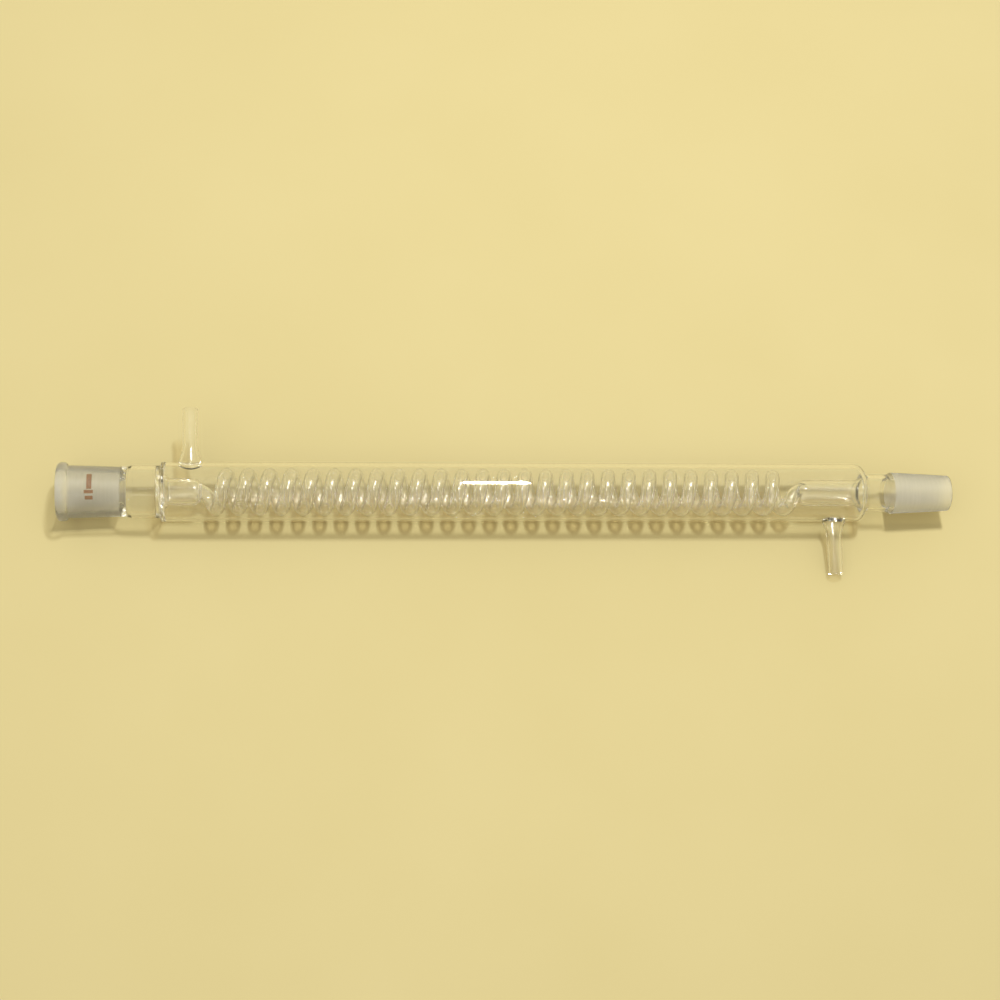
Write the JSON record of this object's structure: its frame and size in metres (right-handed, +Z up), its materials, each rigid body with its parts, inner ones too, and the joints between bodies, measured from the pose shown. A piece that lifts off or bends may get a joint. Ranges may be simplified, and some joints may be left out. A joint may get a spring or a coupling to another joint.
{
  "type": "laboratory coil condenser",
  "caption": "Clear glass coil condenser with a long water jacket, a ground socket at one end, a ground cone at the other and side tubes for the cooling water.",
  "frame": {"origin": "on the bench under the middle of the condenser as it lies, at the bottom centre of its bounding box", "axes": "+X along the condenser from the socket to the cone, +Z up, -Y to the side of the hose connection whose tip touches the bench"},
  "size_m": [0.622, 0.1134, 0.0405],
  "materials": {
    "clear_glass": "clear, fire polished",
    "ground_glass": "white ground surface on the joint, clear behind it"
  },
  "bodies": {
    "root": {"socket_joint": "ground_glass", "jacket": "clear_glass", "inner_coil": "clear_glass", "cone_joint": "ground_glass", "rear_hose_connection": "clear_glass", "front_hose_connection": "clear_glass"}
  },
  "joints": []
}
